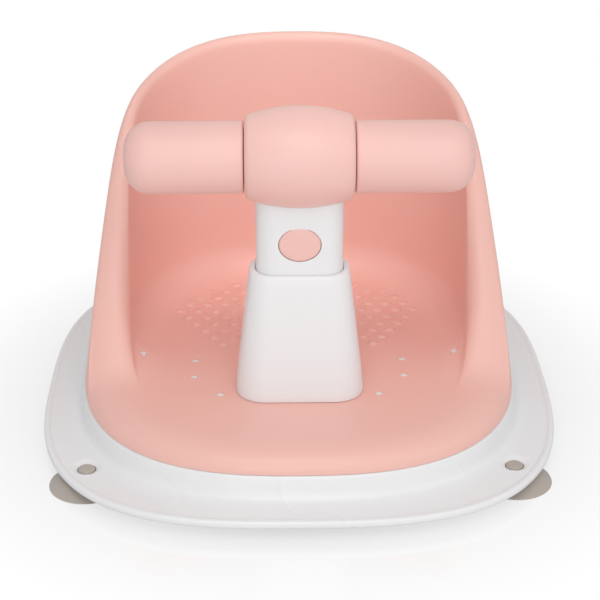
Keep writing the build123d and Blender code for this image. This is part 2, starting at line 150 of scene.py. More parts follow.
class SharedEffects:
    """Builds each shader node group once and hands it to the finishes."""

    def __init__(self) -> None:
        """Start with no group built."""
        self._groups: dict[str, bpy.types.NodeTree] = {}

    def group(self, name: str) -> bpy.types.NodeTree:
        """Give a shared group, built on its first use.

        Args:
            name: "Mould grain" or "Handled tone".

        Returns:
            The node group.
        """
        if name not in self._groups:
            makers = {"Mould grain": self._mould_grain, "Handled tone": self._handled_tone}
            self._groups[name] = makers[name]()
        return self._groups[name]

    @staticmethod
    def _mould_grain() -> bpy.types.NodeTree:
        """Fine spark-eroded grain of a mould, with slow waves of sink: puts out a height and a roughness.

        Returns:
            The node group.
        """
        tree = bpy.data.node_groups.new("Mould grain", "ShaderNodeTree")
        add_socket(tree, "Vector", "INPUT", "NodeSocketVector")
        add_socket(tree, "Grain Scale", "INPUT", "NodeSocketFloat", 2600.0)
        add_socket(tree, "Wave Scale", "INPUT", "NodeSocketFloat", 14.0)
        add_socket(tree, "Roughness Low", "INPUT", "NodeSocketFloat", 0.3)
        add_socket(tree, "Roughness High", "INPUT", "NodeSocketFloat", 0.45)
        add_socket(tree, "Height", "OUTPUT", "NodeSocketFloat")
        add_socket(tree, "Roughness", "OUTPUT", "NodeSocketFloat")
        start = tree.nodes.new("NodeGroupInput")
        end = tree.nodes.new("NodeGroupOutput")
        grain = noise(tree, start.outputs["Vector"], 3.0, 0.6)
        tree.links.new(start.outputs["Grain Scale"], grain.inputs["Scale"])
        wave = noise(tree, start.outputs["Vector"], 1.0)
        tree.links.new(start.outputs["Wave Scale"], wave.inputs["Scale"])
        fine = math_node(tree, "MULTIPLY", grain.outputs["Fac"], 0.35)
        height = math_node(tree, "ADD", fine, wave.outputs["Fac"])
        tree.links.new(height, end.inputs["Height"])
        spread = tree.nodes.new("ShaderNodeMapRange")
        tree.links.new(wave.outputs["Fac"], spread.inputs["Value"])
        spread.interpolation_type = "SMOOTHSTEP"
        spread.inputs["From Min"].default_value = 0.2
        spread.inputs["From Max"].default_value = 0.8
        tree.links.new(start.outputs["Roughness Low"], spread.inputs["To Min"])
        tree.links.new(start.outputs["Roughness High"], spread.inputs["To Max"])
        tree.links.new(spread.outputs["Result"], end.inputs["Roughness"])
        return tree

    @staticmethod
    def _handled_tone() -> bpy.types.NodeTree:
        """Slight cloudiness of a coloured plastic and faint rub marks: puts out a colour.

        Returns:
            The node group.
        """
        tree = bpy.data.node_groups.new("Handled tone", "ShaderNodeTree")
        add_socket(tree, "Vector", "INPUT", "NodeSocketVector")
        add_socket(tree, "Colour", "INPUT", "NodeSocketColor")
        add_socket(tree, "Deep Colour", "INPUT", "NodeSocketColor")
        add_socket(tree, "Cloud Scale", "INPUT", "NodeSocketFloat", 9.0)
        add_socket(tree, "Rub", "INPUT", "NodeSocketFloat", 0.1)
        add_socket(tree, "Colour", "OUTPUT", "NodeSocketColor")
        start = tree.nodes.new("NodeGroupInput")
        end = tree.nodes.new("NodeGroupOutput")
        cloud = noise(tree, start.outputs["Vector"], 4.0)
        tree.links.new(start.outputs["Cloud Scale"], cloud.inputs["Scale"])
        tone = tree.nodes.new("ShaderNodeMapRange")
        tree.links.new(cloud.outputs["Fac"], tone.inputs["Value"])
        tone.interpolation_type = "SMOOTHSTEP"
        tone.inputs["From Min"].default_value = 0.3
        tone.inputs["From Max"].default_value = 0.8
        mix = tree.nodes.new("ShaderNodeMix")
        mix.data_type = "RGBA"
        share = math_node(tree, "MULTIPLY", tone.outputs["Result"], start.outputs["Rub"])
        tree.links.new(share, mix.inputs["Factor"])
        tree.links.new(start.outputs["Colour"], mix.inputs[6])
        tree.links.new(start.outputs["Deep Colour"], mix.inputs[7])
        tree.links.new(mix.outputs[2], end.inputs["Colour"])
        return tree


# Finishes


def linear(channel: float) -> float:
    """The linear value of one display channel between 0 and 1."""
    return channel / 12.92 if channel <= 0.04045 else ((channel + 0.055) / 1.055) ** 2.4


def colour(red: int, green: int, blue: int) -> tuple[float, float, float, float]:
    """The linear colour of a display colour given in 0 to 255."""
    return (linear(red / 255), linear(green / 255), linear(blue / 255), 1.0)


@dataclass(frozen=True)
class Moulded:
    """A moulded plastic or rubber with its mould's grain, slow sink waves and slight cloudiness.

    Attributes:
        name: The material's name.
        tint: The body colour, linear.
        deep: The colour that the clouds lean towards, linear.
        rub: How far the clouds show, from 0 to 1.
        smooth: The roughness where the surface is most polished.
        dull: The roughness where it is least polished.
        grain: The grain's frequency per metre.
        relief: The grain's height in metres.
        subsurface: How much light goes in and out of the plastic.
        transmission: How much light goes through, for clear rubber.
    """

    name: str
    tint: tuple[float, float, float, float]
    deep: tuple[float, float, float, float]
    rub: float = 0.12
    smooth: float = 0.32
    dull: float = 0.44
    grain: float = 2600.0
    relief: float = 0.00002
    subsurface: float = 0.0
    transmission: float = 0.0

    def build(self, effects: SharedEffects) -> bpy.types.Material:
        """Make the material from the shared effects.

        Args:
            effects: The shared node groups.

        Returns:
            The material.
        """
        material = bpy.data.materials.new(self.name)
        material.use_nodes = True
        tree = material.node_tree
        shader = tree.nodes["Principled BSDF"]
        where = tree.nodes.new("ShaderNodeTexCoord").outputs["Object"]
        grain = tree.nodes.new("ShaderNodeGroup")
        grain.node_tree = effects.group("Mould grain")
        tree.links.new(where, grain.inputs["Vector"])
        grain.inputs["Grain Scale"].default_value = self.grain
        grain.inputs["Roughness Low"].default_value = self.smooth
        grain.inputs["Roughness High"].default_value = self.dull
        tone = tree.nodes.new("ShaderNodeGroup")
        tone.node_tree = effects.group("Handled tone")
        tree.links.new(where, tone.inputs["Vector"])
        tone.inputs["Colour"].default_value = self.tint
        tone.inputs["Deep Colour"].default_value = self.deep
        tone.inputs["Rub"].default_value = self.rub
        bump = tree.nodes.new("ShaderNodeBump")
        bump.inputs["Distance"].default_value = self.relief
        bump.inputs["Strength"].default_value = 1.0
        tree.links.new(grain.outputs["Height"], bump.inputs["Height"])
        tree.links.new(bump.outputs["Normal"], shader.inputs["Normal"])
        tree.links.new(grain.outputs["Roughness"], shader.inputs["Roughness"])
        tree.links.new(tone.outputs["Colour"], shader.inputs["Base Color"])
        shader.inputs["Subsurface Weight"].default_value = self.subsurface
        shader.inputs["Subsurface Radius"].default_value = SCATTER_REACH
        shader.inputs["Subsurface Scale"].default_value = SCATTER_DEPTH
        shader.inputs["Transmission Weight"].default_value = self.transmission
        return material


@dataclass(frozen=True)
class PlatedSteel:
    """Zinc-plated screw steel with fine turning marks.

    Attributes:
        name: The material's name.
        tint: The metal's colour, linear.
    """

    name: str = "Plated screw steel"
    tint: tuple[float, float, float, float] = colour(178, 178, 182)

    def build(self, effects: SharedEffects) -> bpy.types.Material:
        """Make the material from the shared effects.

        Args:
            effects: The shared node groups.

        Returns:
            The material.
        """
        grey = colour(150, 150, 150)
        marks = Moulded(
            self.name, self.tint, grey, rub=0.4, smooth=0.25, dull=0.45, grain=5200.0, relief=0.00001
        )
        material = marks.build(effects)
        material.node_tree.nodes["Principled BSDF"].inputs["Metallic"].default_value = 1.0
        return material


class Finishes:
    """Every finish of the seat, built once."""

    def __init__(self, effects: SharedEffects) -> None:
        """Build each material.

        Args:
            effects: The shared node groups.
        """
        pink = colour(243, 192, 181)
        blush = colour(238, 181, 168)
        pale = colour(243, 197, 188)
        white = colour(238, 238, 239)
        shade = colour(228, 229, 232)
        clear = colour(214, 204, 194)
        smoke = colour(192, 180, 168)
        natural = colour(232, 231, 226)
        seat = Moulded("Bucket pink plastic", pink, blush, subsurface=0.05)
        bar = Moulded("Bar pink plastic", pale, pink, smooth=0.3, dull=0.4, subsurface=0.05)
        grip = Moulded("Grip pink rubber", pale, pink, smooth=0.38, dull=0.5, subsurface=0.05)
        base = Moulded("Base white plastic", white, shade, smooth=0.22, dull=0.34)
        post = Moulded("Post white plastic", white, shade, smooth=0.3, dull=0.42)
        clip = Moulded("Clip natural plastic", natural, shade, smooth=0.35)
        cup = Moulded("Clear cup rubber", clear, smoke, rub=0.4, smooth=0.16, dull=0.3, transmission=0.3)
        self.seat = seat.build(effects)
        self.bar = bar.build(effects)
        self.grip = grip.build(effects)
        self.base = base.build(effects)
        self.post = post.build(effects)
        self.clip = clip.build(effects)
        self.cup = cup.build(effects)
        self.screw = PlatedSteel().build(effects)


# Mesh helpers


def live_mesh(obj: bpy.types.Object) -> None:
    """Put an object's modifiers into its mesh.

    Args:
        obj: The mesh object.
    """
    graph = bpy.context.evaluated_depsgraph_get()
    done = bpy.data.meshes.new_from_object(obj.evaluated_get(graph), depsgraph=graph)
    obj.modifiers.clear()
    obj.data = done


def finished(
    name: str,
    mesh: bmesh.types.BMesh,
    body: Body,
    material: bpy.types.Material,
    replaces: Sequence[str] = (),
    levels: int = 0,
    sharp: float = SHARP_ANGLE,
) -> bpy.types.Object:
    """Turn a bmesh into a piece that rides on a body and takes a finish.

    Args:
        name: The piece's name.
        mesh: The finished bmesh, which is freed.
        body: The body that the piece rides on.
        material: Its finish.
        replaces: The CAD nodes that it stands for.
        levels: The levels of subdivision.
        sharp: The angle in degrees above which an edge stays sharp.

    Returns:
        The piece.
    """
    bmesh.ops.recalc_face_normals(mesh, faces=mesh.faces)
    data = bpy.data.meshes.new(name)
    mesh.to_mesh(data)
    mesh.free()
    data.shade_smooth()
    data.set_sharp_from_angle(angle=math.radians(sharp))
    piece = bpy.data.objects.new(name, data)
    bpy.context.scene.collection.objects.link(piece)
    if levels:
        surface = piece.modifiers.new("Smooth surface", "SUBSURF")
        surface.levels = levels
        surface.render_levels = levels
    data.materials.append(material)
    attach(piece, body.value)
    if replaces:
        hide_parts(*replaces)
    return piece


class RingLoft:
    """A skin that grows ring by ring from a circle, each ring placed by a formula of its turn."""

    def __init__(self, segments: int) -> None:
        """Start from a circle.

        Args:
            segments: The number of vertices in each ring.
        """
        self.mesh = bmesh.new()
        self._turn = self.mesh.verts.layers.float.new("turn")
        circle = bmesh.ops.create_circle(self.mesh, cap_ends=False, segments=segments, radius=1.0)
        self._ring = circle["verts"]
        for vert in self._ring:
            vert[self._turn] = math.atan2(vert.co.y, vert.co.x)
        self._edges = list(self.mesh.edges)
        self._first = list(self._ring)
        self._begun = False

    def ring(self, place: Place) -> "RingLoft":
        """Add the next ring.

        Args:
            place: Gives a vertex's place from its turn in radians.

        Returns:
            This loft, so that rings can be chained.
        """
        if self._begun:
            grown = bmesh.ops.extrude_edge_only(self.mesh, edges=self._edges)["geom"]
            self._ring = [part for part in grown if isinstance(part, bmesh.types.BMVert)]
            fresh = set(self._ring)
            edges = [part for part in grown if isinstance(part, bmesh.types.BMEdge)]
            self._edges = [edge for edge in edges if fresh.issuperset(edge.verts)]
        self._begun = True
        for vert in self._ring:
            vert.co = place(vert[self._turn])
        return self

    def rings(self, place: Callable[..., Vector], steps: Sequence) -> "RingLoft":
        """Add a ring for each step of a formula.

        Args:
            place: Gives a vertex's place from its turn in radians and the step.
            steps: The steps, each one number or a tuple of the formula's further values.

        Returns:
            This loft.
        """
        for step in steps:
            values = step if isinstance(step, tuple) else (step,)
            self.ring(lambda turn, values=values: place(turn, *values))
        return self

    def closed(self, start: Vector, end: Vector) -> bmesh.types.BMesh:
        """Draw the first and last rings together into points.

        Args:
            start: Where the first ring goes.
            end: Where the last ring goes.

        Returns:
            The bmesh.
        """
        bmesh.ops.pointmerge(self.mesh, verts=self._ring, merge_co=end)
        bmesh.ops.pointmerge(self.mesh, verts=self._first, merge_co=start)
        return self.mesh


def bevelled(
    mesh: bmesh.types.BMesh, edges: Sequence[bmesh.types.BMEdge], offset: float, segments: int
) -> bmesh.types.BMesh:
    """Round edges of a bmesh.

    Args:
        mesh: The bmesh.
        edges: Its edges to round.
        offset: How far the rounding reaches from each edge.
        segments: The number of steps in the rounding.

    Returns:
        The same bmesh.
    """
    bmesh.ops.bevel(
        mesh, geom=edges, offset=offset, offset_type="OFFSET", segments=segments, profile=0.5, affect="EDGES",
        material=-1,
    )
    return mesh


def revolved(
    profile: Profile, steps: int, rounds: dict[int, tuple[float, int]] | None = None
) -> bmesh.types.BMesh:
    """Spin a profile round Z and round chosen corners.

    Args:
        profile: The profile's points as radius and height.
        steps: The number of steps in a full turn.
        rounds: A corner's index with its bevel offset and segments.

    Returns:
        The bmesh.
    """
    mesh = bmesh.new()
    points = [mesh.verts.new((radius, 0.0, height)) for radius, height in profile]
    edges = [mesh.edges.new(pair) for pair in zip(points, points[1:])]
    turn = 2 * math.pi
    bmesh.ops.spin(
        mesh, geom=points + edges, cent=(0, 0, 0), axis=(0, 0, 1), angle=turn, steps=steps, use_merge=True
    )
    bmesh.ops.remove_doubles(mesh, verts=mesh.verts, dist=0.000001)
    for index, (offset, segments) in (rounds or {}).items():
        radius, height = profile[index]
        ring = [edge for edge in mesh.edges if all(on_ring(vert, radius, height) for vert in edge.verts)]
        bevelled(mesh, ring, offset, segments)
    return mesh


def on_ring(vert: bmesh.types.BMVert, radius: float, height: float) -> bool:
    """Whether a vertex lies on a ring round Z."""
    return abs(vert.co.z - height) < 1e-6 and abs(math.hypot(vert.co.x, vert.co.y) - radius) < 1e-6


def moved(mesh: bmesh.types.BMesh, matrix: Matrix) -> bmesh.types.BMesh:
    """Move a whole bmesh by a matrix and give it back."""
    bmesh.ops.transform(mesh, matrix=matrix, verts=mesh.verts)
    return mesh


def joined(meshes: Sequence[bmesh.types.BMesh]) -> bmesh.types.BMesh:
    """Put several bmeshes into one.

    Args:
        meshes: The bmeshes, which are freed.

    Returns:
        The joined bmesh.
    """
    whole = bmesh.new()
    for mesh in meshes:
        data = bpy.data.meshes.new("part of a group")
        mesh.to_mesh(data)
        mesh.free()
        whole.from_mesh(data)
        bpy.data.meshes.remove(data)
    return whole


def carve(piece: bpy.types.Object, tools: bmesh.types.BMesh) -> None:
    """Cut a bmesh out of a piece for good.

    Args:
        piece: The piece, whose modifiers are put into its mesh first.
        tools: The cutting solids as one bmesh, which is freed.
    """
    live_mesh(piece)
    bmesh.ops.recalc_face_normals(tools, faces=tools.faces)
    data = bpy.data.meshes.new("cutter")
    tools.to_mesh(data)
    tools.free()
    cutter = bpy.data.objects.new("cutter", data)
    bpy.context.scene.collection.objects.link(cutter)
    cut = piece.modifiers.new("Cut", "BOOLEAN")
    cut.operation = "DIFFERENCE"
    cut.solver = "EXACT"
    cut.object = cutter
    live_mesh(piece)
    bpy.data.objects.remove(cutter)
    piece.data.shade_smooth()
    piece.data.set_sharp_from_angle(angle=math.radians(SHARP_ANGLE))


def rod(radius: float, bottom: float, top: float, x: float, y: float, segments: int) -> bmesh.types.BMesh:
    """An upright round cutter or pin between two heights.

    Args:
        radius: Its radius.
        bottom: Its lower end.
        top: Its upper end.
        x: Its place along X.
        y: Its place along Y.
        segments: The sides of its circle.

    Returns:
        The bmesh.
    """
    mesh = bmesh.new()
    place = Matrix.Translation((x, y, (bottom + top) / 2))
    depth = top - bottom
    bmesh.ops.create_cone(
        mesh, cap_ends=True, segments=segments, radius1=radius, radius2=radius, depth=depth, matrix=place
    )
    return mesh


def four_corners(x: float, y: float) -> list[tuple[float, float]]:
    """The four places at plus and minus x and y."""
    return [(side * x, end * y) for side in (1, -1) for end in (1, -1)]


# Forms in plan and section


@dataclass(frozen=True)
class BowedPlan:
    """A plan outline with bowed sides, bowed ends and round corners.

    Attributes:
        half_width: Half its width along X.
        front: Its reach towards the front.
        back: Its reach towards the back.
        squareness: 2 is an ellipse, and more is squarer.
    """

    half_width: float
    front: float
    back: float
    squareness: float

    def at(self, turn: float, inset: float = 0.0) -> Vector:
        """A point of the outline.

        Args:
            turn: The direction from the middle in radians.
            inset: How far the outline is drawn in all round.

        Returns:
            The point at height 0.
        """
        depth = self.back if math.sin(turn) > 0 else self.front
        across = abs(math.cos(turn) / (self.half_width - inset)) ** self.squareness
        along = abs(math.sin(turn) / (depth - inset)) ** self.squareness
        reach = (across + along) ** (-1 / self.squareness)
        return Vector((reach * math.cos(turn), reach * math.sin(turn), 0.0))


@dataclass(frozen=True)
class RoundedBox:
    """A plan outline with straight sides and round corners, centred on a point.

    Attributes:
        half_width: Half its width along X.
        half_depth: Half its depth along Y.
        corner: The radius of its corners.
        middle: Its middle.
    """

    half_width: float
    half_depth: float
    corner: float
    middle: Vector

    def at(self, turn: float, height: float, grow: float = 0.0) -> Vector:
        """A point of the outline.

        Args:
            turn: The direction from the middle in radians.
            height: The height of the point.
            grow: How far the outline is drawn out all round.

        Returns:
            The point.
        """
        width = self.half_width + grow
        depth = self.half_depth + grow
        corner = self.corner + grow
        across = max(abs(math.cos(turn)), 1e-9)
        along = max(abs(math.sin(turn)), 1e-9)
        reach = min(width / across, depth / along)
        if reach * across > width - corner and reach * along > depth - corner:
            towards = (width - corner) * across + (depth - corner) * along
            apart = (width - corner) ** 2 + (depth - corner) ** 2 - corner**2
            reach = towards + math.sqrt(max(towards**2 - apart, 0.0))
        return self.middle + Vector((reach * math.cos(turn), reach * math.sin(turn), height))


@dataclass(frozen=True)
class SweptSide:
    """The side profile of the seat from the front apron to the tall back: straight runs joined by arcs.

    Attributes:
        corners: Its corners as depth and height.
        rounds: The radius at each inner corner.
    """

    corners: tuple[tuple[float, float], ...]
    rounds: tuple[float, ...]

    def height(self, depth: float) -> float:
        """The profile's height at a depth.

        Args:
            depth: The place along Y.

        Returns:
            The height.
        """
        for index, radius in enumerate(self.rounds, start=1):
            corner = Vector(self.corners[index])
            back = (Vector(self.corners[index - 1]) - corner).normalized()
            ahead = (Vector(self.corners[index + 1]) - corner).normalized()
            half = back.angle(ahead) / 2
            tangent = radius / math.tan(half)
            if corner.x + back.x * tangent <= depth <= corner.x + ahead.x * tangent:
                centre = corner + (back + ahead).normalized() * (radius / math.sin(half))
                rise = math.sqrt(max(radius**2 - (depth - centre.x) ** 2, 0.0))
                return centre.y - rise if centre.y > corner.y else centre.y + rise
        for (start, low), (end, high) in zip(self.corners, self.corners[1:]):
            if depth <= end:
                return low + (high - low) * (depth - start) / (end - start)
        return self.corners[-1][1]


# Sub-assemblies


@dataclass
class SeatShell:
    """The pink bucket seat with its soft rim, front apron, drain holes and grip pips."""

    finishes: Finishes
    plan: BowedPlan = BowedPlan(0.148, 0.1555, 0.163, 2.56)
    cavity: BowedPlan = BowedPlan(0.115, 0.123, 0.123, 2.5)
    side: SweptSide = SweptSide(
        corners=((-0.2, -0.019), (-0.052, 0.046), (0.038, 0.196), (0.19, 0.2505)), rounds=(0.055, 0.095)
    )
    segments: int = 128
    bottom: float = 0.0285
    bottom_edge: float = 0.0003
    floor: float = 0.042
    draft: float = math.tan(math.radians(8.6))
    depth_share: float = 0.9
    apron_ease: float = 0.004
    lip_round: float = 0.011
    inner_round: float = 0.006
    inner_share: float = 0.5
    outer_share: float = 0.6
    soft_rise: float = 0.1
    soft_share: float = 0.4
    scoop: float = 0.026
    scoop_share: float = 0.96
    under_insets: tuple[float, ...] = (0.1, 0.05, 0.004, 0.0003)
    outer_shares: tuple[float, ...] = (0.0, 0.12, 0.4, 0.7, 0.92, 1.0)
    rim_swings: tuple[int, ...] = (22, 45, 68, 90, 112, 135, 158, 180)
    inner_shares: tuple[float, ...] = (0.15, 0.5, 0.85, 1.0)
    scoop_swings: tuple[int, ...] = (18, 36, 54, 72, 90)
    floor_shares: tuple[float, ...] = (0.08, 0.35, 0.65, 0.9)
    holes: Profile = ((0.107, -0.028), (0.071, -0.027), (0.071, -0.05), (0.0525, -0.075))
    hole_radius: float = 0.0026
    hole_sides: int = 24
    hole_reach: float = 0.08
    overlap: float = 0.001
    spigot_gap: float = 0.0002
    spigot_sink: float = 0.0006
    pip_pitch: tuple[float, float] = (0.0131, 0.0106)
    pip_size: tuple[float, float, float] = (0.0042, 0.0032, 0.0016)
    pip_cut: float = -0.1
    pip_rows: int = 5
    pip_count: int = 14
    pip_middle: float = 0.049

    def crest(self, depth: float) -> float:
        """The height of the rim at a depth: the side profile, eased into the level of the apron."""
        gap = self.side.height(depth) - self.floor
        return self.floor + (gap + math.hypot(gap, self.apron_ease)) / 2

    def inner_drop(self, rise: float) -> float:
        """How far the inner edge of the rim rounds down, which grows softer where the wall is low."""
        softened = self.inner_round + max(self.soft_rise - rise, 0) * self.soft_share
        return min(self.inner_share * max(rise, 0), softened)

    def outer(self, turn: float, share: float) -> Vector:
        """A point of the outer wall, at a share of the way up from its foot to the rim's shoulder."""
        base = self.plan.at(turn)
        top = self.crest(base.y * self.depth_share) - self.lip_round
        foot = self.bottom + self.bottom_edge
        height = foot + (top - foot) * share
        point = self.plan.at(turn, self.draft * (height - self.bottom))
        point.z = height
        return point

    def rim(self, turn: float, swing: float) -> Vector:
        """A point of the rounded rim: outer shoulder at swing 0, crest at 90 and inner edge at 180."""
        shoulder = self.outer(turn, 1.0)
        inside = self.cavity.at(turn)
        outward = 1 - math.cos(math.radians(swing))
        split = self.outer_share
        share = split * outward if swing <= 90 else split + (1 - split) * (outward - 1)
        point = Vector((shoulder.x, shoulder.y, 0)).lerp(inside, share)
        drop = self.lip_round if swing <= 90 else self.inner_drop(self.crest(point.y) - self.floor)
        point.z = self.crest(point.y) - drop * (1 - math.sin(math.radians(swing)))
        return point

    def inner(self, turn: float, share: float) -> Vector:
        """A point of the upright inner wall, at a share of the way down from the rim to the scoop."""
        top = self.rim(turn, 180)
        foot = self.floor + min(self.scoop, self.scoop_share * (top.z - self.floor))
        return Vector((top.x, top.y, top.z + (foot - top.z) * share))

    def scooped(self, turn: float, swing: float) -> Vector:
        """A point of the scoop between the inner wall at swing 0 and the floor at 90."""
        foot = self.inner(turn, 1.0)
        reach = self.scoop * (1 - math.cos(math.radians(swing)))
        point = self.cavity.at(turn, reach)
        point.z = foot.z - (foot.z - self.floor) * math.sin(math.radians(swing))
        return point

    def flat(self, turn: float, share: float) -> Vector:
        """A point of the flat floor, at a share of the way in from the scoop to the middle."""
        return self.scooped(turn, 90) * (1 - share) + Vector((0, 0, self.floor * share))

    def under(self, turn: float, inset: float) -> Vector:
        """A point of the flat underside."""
        point = self.plan.at(turn, inset)
        point.z = self.bottom
        return point

    def build(self) -> bpy.types.Object:
        """Loft the shell, cut its drain holes and set the pips on its floor.

        Returns:
            The shell.
        """
        loft = RingLoft(self.segments)
        loft.rings(self.under, self.under_insets)
        loft.rings(self.outer, self.outer_shares)
        loft.rings(self.rim, self.rim_swings)
        loft.rings(self.inner, self.inner_shares)
        loft.rings(self.scooped, self.scoop_swings)
        loft.rings(self.flat, self.floor_shares)
        mesh = loft.closed(Vector((0, 0, self.bottom)), Vector((0, 0, self.floor)))
        pink = self.finishes.seat
        shell = finished("seat_shell_skin", mesh, Body.BASE, pink, ["seat_shell"], 1)
        self.drain_holes(shell)
        self.pips()
        return shell

    def drain_holes(self, shell: bpy.types.Object) -> bpy.types.Object:
        """Cut the drain holes, with the white spigots of the deck that stand in them.

        Args:
            shell: The shell.

        Returns:
            The spigots as one piece.
        """
        live_mesh(shell)
        radius = self.hole_radius
        low = self.bottom - self.overlap
        above = Vector((0, 0, self.side.height(self.plan.back)))
        spigots = []
        cutters = []
        for x, y in [(side * x, y) for x, y in self.holes for side in (1, -1)]:
            surface = shell.ray_cast(Vector((x, y, 0)) + above, Vector((0, 0, -1)))[1].z
            top = surface - self.spigot_sink
            spigots.append(rod(radius - self.spigot_gap, low, top, x, y, self.hole_sides))
            cutters.append(rod(radius, low - self.overlap, self.hole_reach, x, y, self.hole_sides))
        carve(shell, joined(cutters))
        return finished("deck_spigots", joined(spigots), Body.BASE, self.finishes.base)

    def pips(self) -> bpy.types.Object:
        """Set the low oval pips in a hexagon on the floor, clear of the post.

        Returns:
            The pips as one piece.
        """
        across, along = self.pip_pitch
        width, depth, height = self.pip_size
        made = []
        for row in range(-self.pip_rows, self.pip_rows + 1):
            count = self.pip_count - abs(row)
            for index in range(count):
                x = (index - (count - 1) / 2) * across
                y = self.pip_middle + row * along
                pip = bmesh.new()
                bmesh.ops.create_uvsphere(pip, u_segments=12, v_segments=6, radius=1.0)
                whole = pip.verts[:] + pip.edges[:] + pip.faces[:]
                cut = Vector((0, 0, self.pip_cut))
                bmesh.ops.bisect_plane(pip, geom=whole, plane_co=cut, plane_no=(0, 0, 1), clear_inner=True)
                place = Matrix.Translation((x, y, self.floor))
                made.append(moved(pip, place @ Matrix.Diagonal((width, depth, height, 1))))
        return finished("seat_grip_pips", joined(made), Body.BASE, self.finishes.seat)


@dataclass
class BaseTray:
    """The white base: flange with an edge bead, drafted plinth under the seat, ribs and cup sockets."""

    finishes: Finishes
    flange: BowedPlan = BowedPlan(0.175, 0.185, 0.185, 2.95)
    seat: BowedPlan = BowedPlan(0.148, 0.1555, 0.163, 2.56)
    flange_top: float = 0.0126
    flange_under: float = 0.0094
    bead_top: float = 0.0136
    bead_bottom: float = 0.0084
    deck: float = 0.0285
    wall: float = 0.003
    draft: float = math.tan(math.radians(12.0))
    foot_grow: float = 0.0042
    segments: int = 128
    deck_insets: tuple[float, ...] = (0.1, 0.01, 0.0016)
    wall_rings: Profile = ((0.0279, 0.0003), (0.0261, 0.0), (0.02, 0.0), (0.0162, -0.0002))
    foot_rings: Profile = ((0.0142, -0.0011), (0.0131, -0.0026))
    foot_reach: float = 0.005
    flange_middle: float = 0.008
    inner_edge: float = 0.001
    cups: tuple[float, float] = (0.1385, 0.117)
    cup_sides: int = 40
    bore: Profile = ((0.0, 0.005), (0.0062, 0.005), (0.0062, 0.0108))
    countersink: Profile = ((0.0098, 0.0131), (0.0108, 0.016), (0.0, 0.016))
    collar_in: Profile = ((0.0063, 0.0105), (0.0063, 0.0066))
    collar_out: Profile = ((0.0125, 0.0066), (0.0125, 0.0097))
    rib: float = 0.0024
    rib_foot: float = 0.013
    rib_edge: float = 0.0005
    ribs_along: tuple[float, ...] = (-0.058, 0.058)
    ribs_across: tuple[float, ...] = (-0.124, 0.0, 0.062)

    def plinth(self, turn: float, height: float, inset: float = 0.0) -> Vector:
        """A point of the drafted plinth wall at a height."""
        grow = self.foot_grow - self.draft * (height - self.flange_under)
        point = self.seat.at(turn, inset - grow)
        point.z = height
        return point

    def edge(self, turn: float, inset: float, height: float) -> Vector:
        """A point near the flange's edge."""
        point = self.flange.at(turn, inset)
        point.z = height
        return point

    def build(self) -> bpy.types.Object:
        """Loft the tray, cut its sockets and add its ribs.

        Returns:
            The tray.
        """
        top = self.flange_top
        under = self.flange_under
        crown = self.bead_top
        sole = self.bead_bottom
        wall = self.wall
        edge = self.inner_edge
        roof = self.deck - wall
        middle = self.flange_middle
        rim = ((0.0052, top), (0.0042, top + 0.0002), (0.0034, crown - 0.0001), (0.0024, crown))
        outer = ((0.0010, crown), (0.0002, crown - 0.0007), (0.0, 0.011), (0.0003, sole + 0.0006))
        inner = ((0.0011, sole), (0.0024, sole), (0.0034, sole + 0.0003), (0.0042, under))
        loft = RingLoft(self.segments)
        loft.rings(self.plinth, [(self.deck, inset) for inset in self.deck_insets])
        loft.rings(self.plinth, [*self.wall_rings, *self.foot_rings, (top, -self.foot_reach)])
        loft.ring(lambda turn: (self.plinth(turn, top, -middle) + self.edge(turn, middle, top)) / 2)
        loft.rings(self.edge, rim + outer + inner)
        loft.rings(self.plinth, ((under, -edge), (under + edge, wall)))
        loft.rings(self.plinth, ((roof - edge, wall), (roof, wall + edge)))
        loft.ring(lambda turn: self.plinth(turn, roof, self.deck_insets[0]))
        mesh = loft.closed(Vector((0, 0, self.deck)), Vector((0, 0, roof)))
        white = self.finishes.base
        tray = finished("base_tray_skin", mesh, Body.BASE, white, ["base_tray"], 1)
        self.sockets(tray)
        self.ribs()
        return tray

    def sockets(self, tray: bpy.types.Object) -> None:
        """Cut the countersunk cup holes and set a collar under each.

        Args:
            tray: The tray.
        """
        sink = (*self.bore, *self.countersink)
        collar = (self.collar_in[-1], *self.collar_out, *self.collar_in)
        cutters = []
        collars = []
        for x, y in four_corners(*self.cups):
            cutters.append(moved(revolved(sink, self.cup_sides), Matrix.Translation((x, y, 0))))
            collars.append(moved(revolved(collar, self.cup_sides), Matrix.Translation((x, y, 0))))
        carve(tray, joined(cutters))
        finished("cup_collars", joined(collars), Body.BASE, self.finishes.base)

    def ribs(self) -> bpy.types.Object:
        """Stand the crossed ribs under the deck.

        Returns:
            The ribs as one piece.
        """
        made = []
        for x in self.ribs_along:
            reach = self.reach(x, False)
            made.append(self.rib_between(Vector((x, reach, 0)), Vector((x, -reach, 0))))
        for y in self.ribs_across:
            reach = self.reach(y, True)
            made.append(self.rib_between(Vector((reach, y, 0)), Vector((-reach, y, 0))))
        return finished("tray_ribs", joined(made), Body.BASE, self.finishes.base)

    def reach(self, offset: float, along_x: bool) -> float:
        """How far the inside of the plinth reaches at an offset, measured along X or along Y."""
        plan = self.seat
        cross, reach = (plan.front, plan.half_width) if along_x else (plan.half_width, plan.front)
        within = 1 - abs(offset / cross) ** plan.squareness
        return (reach - 0.002) * within ** (1 / plan.squareness)

